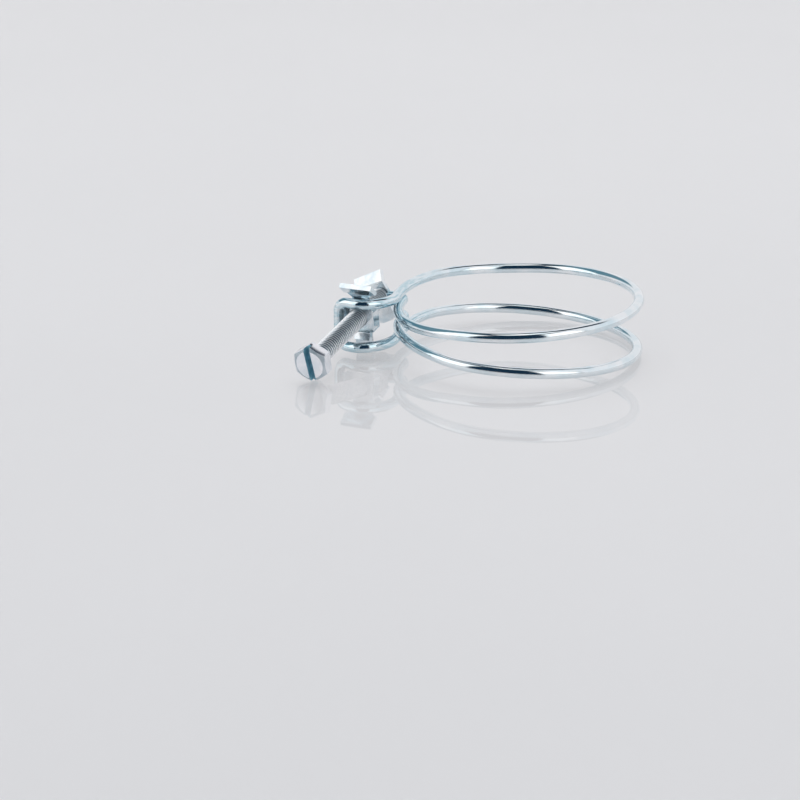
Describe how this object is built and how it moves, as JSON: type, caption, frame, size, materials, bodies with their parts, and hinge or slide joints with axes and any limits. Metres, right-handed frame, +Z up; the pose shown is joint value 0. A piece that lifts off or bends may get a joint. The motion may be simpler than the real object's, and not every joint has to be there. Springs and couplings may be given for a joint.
{
  "type": "double wire hose clamp",
  "caption": "Screw-tightened hose clamp bent from one steel wire into two parallel rings, drawn tight by a slotted hexagon screw between a nut plate and a pressure plate.",
  "frame": {"origin": "on the hose axis, at the level of the flat surface that the clamp lies on", "axes": "+Z up along the hose, +X away from the screw across the rings, +Y from the screw head's side to its tip's side"},
  "size_m": [0.105, 0.0762, 0.0227],
  "materials": {
    "wire": "bright zinc plate on drawn wire, clear blue passivated",
    "plates": "bright zinc plate on pressed steel, clear blue passivated",
    "screw": "bright zinc plate, rolled thread"
  },
  "bodies": {
    "clamp": {"wire": "wire", "pressure_plate": "plates"},
    "screw": {"screw": "screw"},
    "nut_plate": {"nut_plate": "plates"}
  },
  "joints": [
    {"name": "screw_turn", "type": "hinge", "parent": "clamp", "child": "screw", "pos_m": [-0.0488, -0.0024, 0.0111], "axis": [-0.4144, -0.8928, -0.1762], "range_deg": [0, 2880]},
    {"name": "nut_travel", "type": "slide", "parent": "clamp", "child": "nut_plate", "axis": [0.4144, 0.8928, 0.1762], "range_m": [0, 0.008]}
  ],
  "couplings": [
    {"joint": "nut_travel", "follows": "screw_turn", "m_per_rad": 0.00015915}
  ]
}
